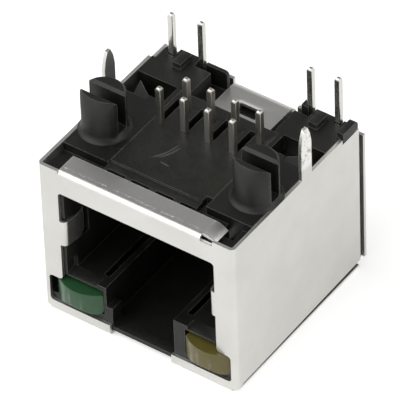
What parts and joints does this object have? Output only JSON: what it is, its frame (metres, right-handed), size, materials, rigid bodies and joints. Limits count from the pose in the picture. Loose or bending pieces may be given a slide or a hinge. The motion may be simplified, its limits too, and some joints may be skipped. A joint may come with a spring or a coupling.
{
  "type": "rj45 board jack",
  "caption": "Shielded right-angle RJ45 jack for a circuit board, with two indicator lights, lying with its pins up.",
  "frame": {"origin": "middle of the bounding box's base, on the flat plate of the shield", "axes": "+Z out of the board side along the pins, +X across the jack towards the yellow light, -Y out of the plug opening"},
  "size_m": [0.0164, 0.0164, 0.018],
  "materials": {
    "plated_sheet": "satin plated",
    "black_plastic": "fine matt moulding",
    "insert_plastic": "fine matt moulding",
    "contact_wire": "tin plated wire",
    "lead_wire": "bright plated wire",
    "green_lens": "tinted, unlit",
    "yellow_lens": "tinted, unlit",
    "chip": "sawn"
  },
  "bodies": {
    "root": {"shield": "plated_sheet", "housing": "black_plastic", "contact_insert": "insert_plastic", "contact_1": "contact_wire", "contact_2": "contact_wire", "contact_3": "contact_wire", "contact_4": "contact_wire", "contact_5": "contact_wire", "contact_6": "contact_wire", "contact_7": "contact_wire", "contact_8": "contact_wire", "lens_green": "green_lens", "lens_yellow": "yellow_lens", "lead_green_inner": "lead_wire", "lead_green_outer": "lead_wire", "lead_yellow_inner": "lead_wire", "lead_yellow_outer": "lead_wire", "chip_green": "chip", "chip_yellow": "chip"}
  },
  "joints": []
}
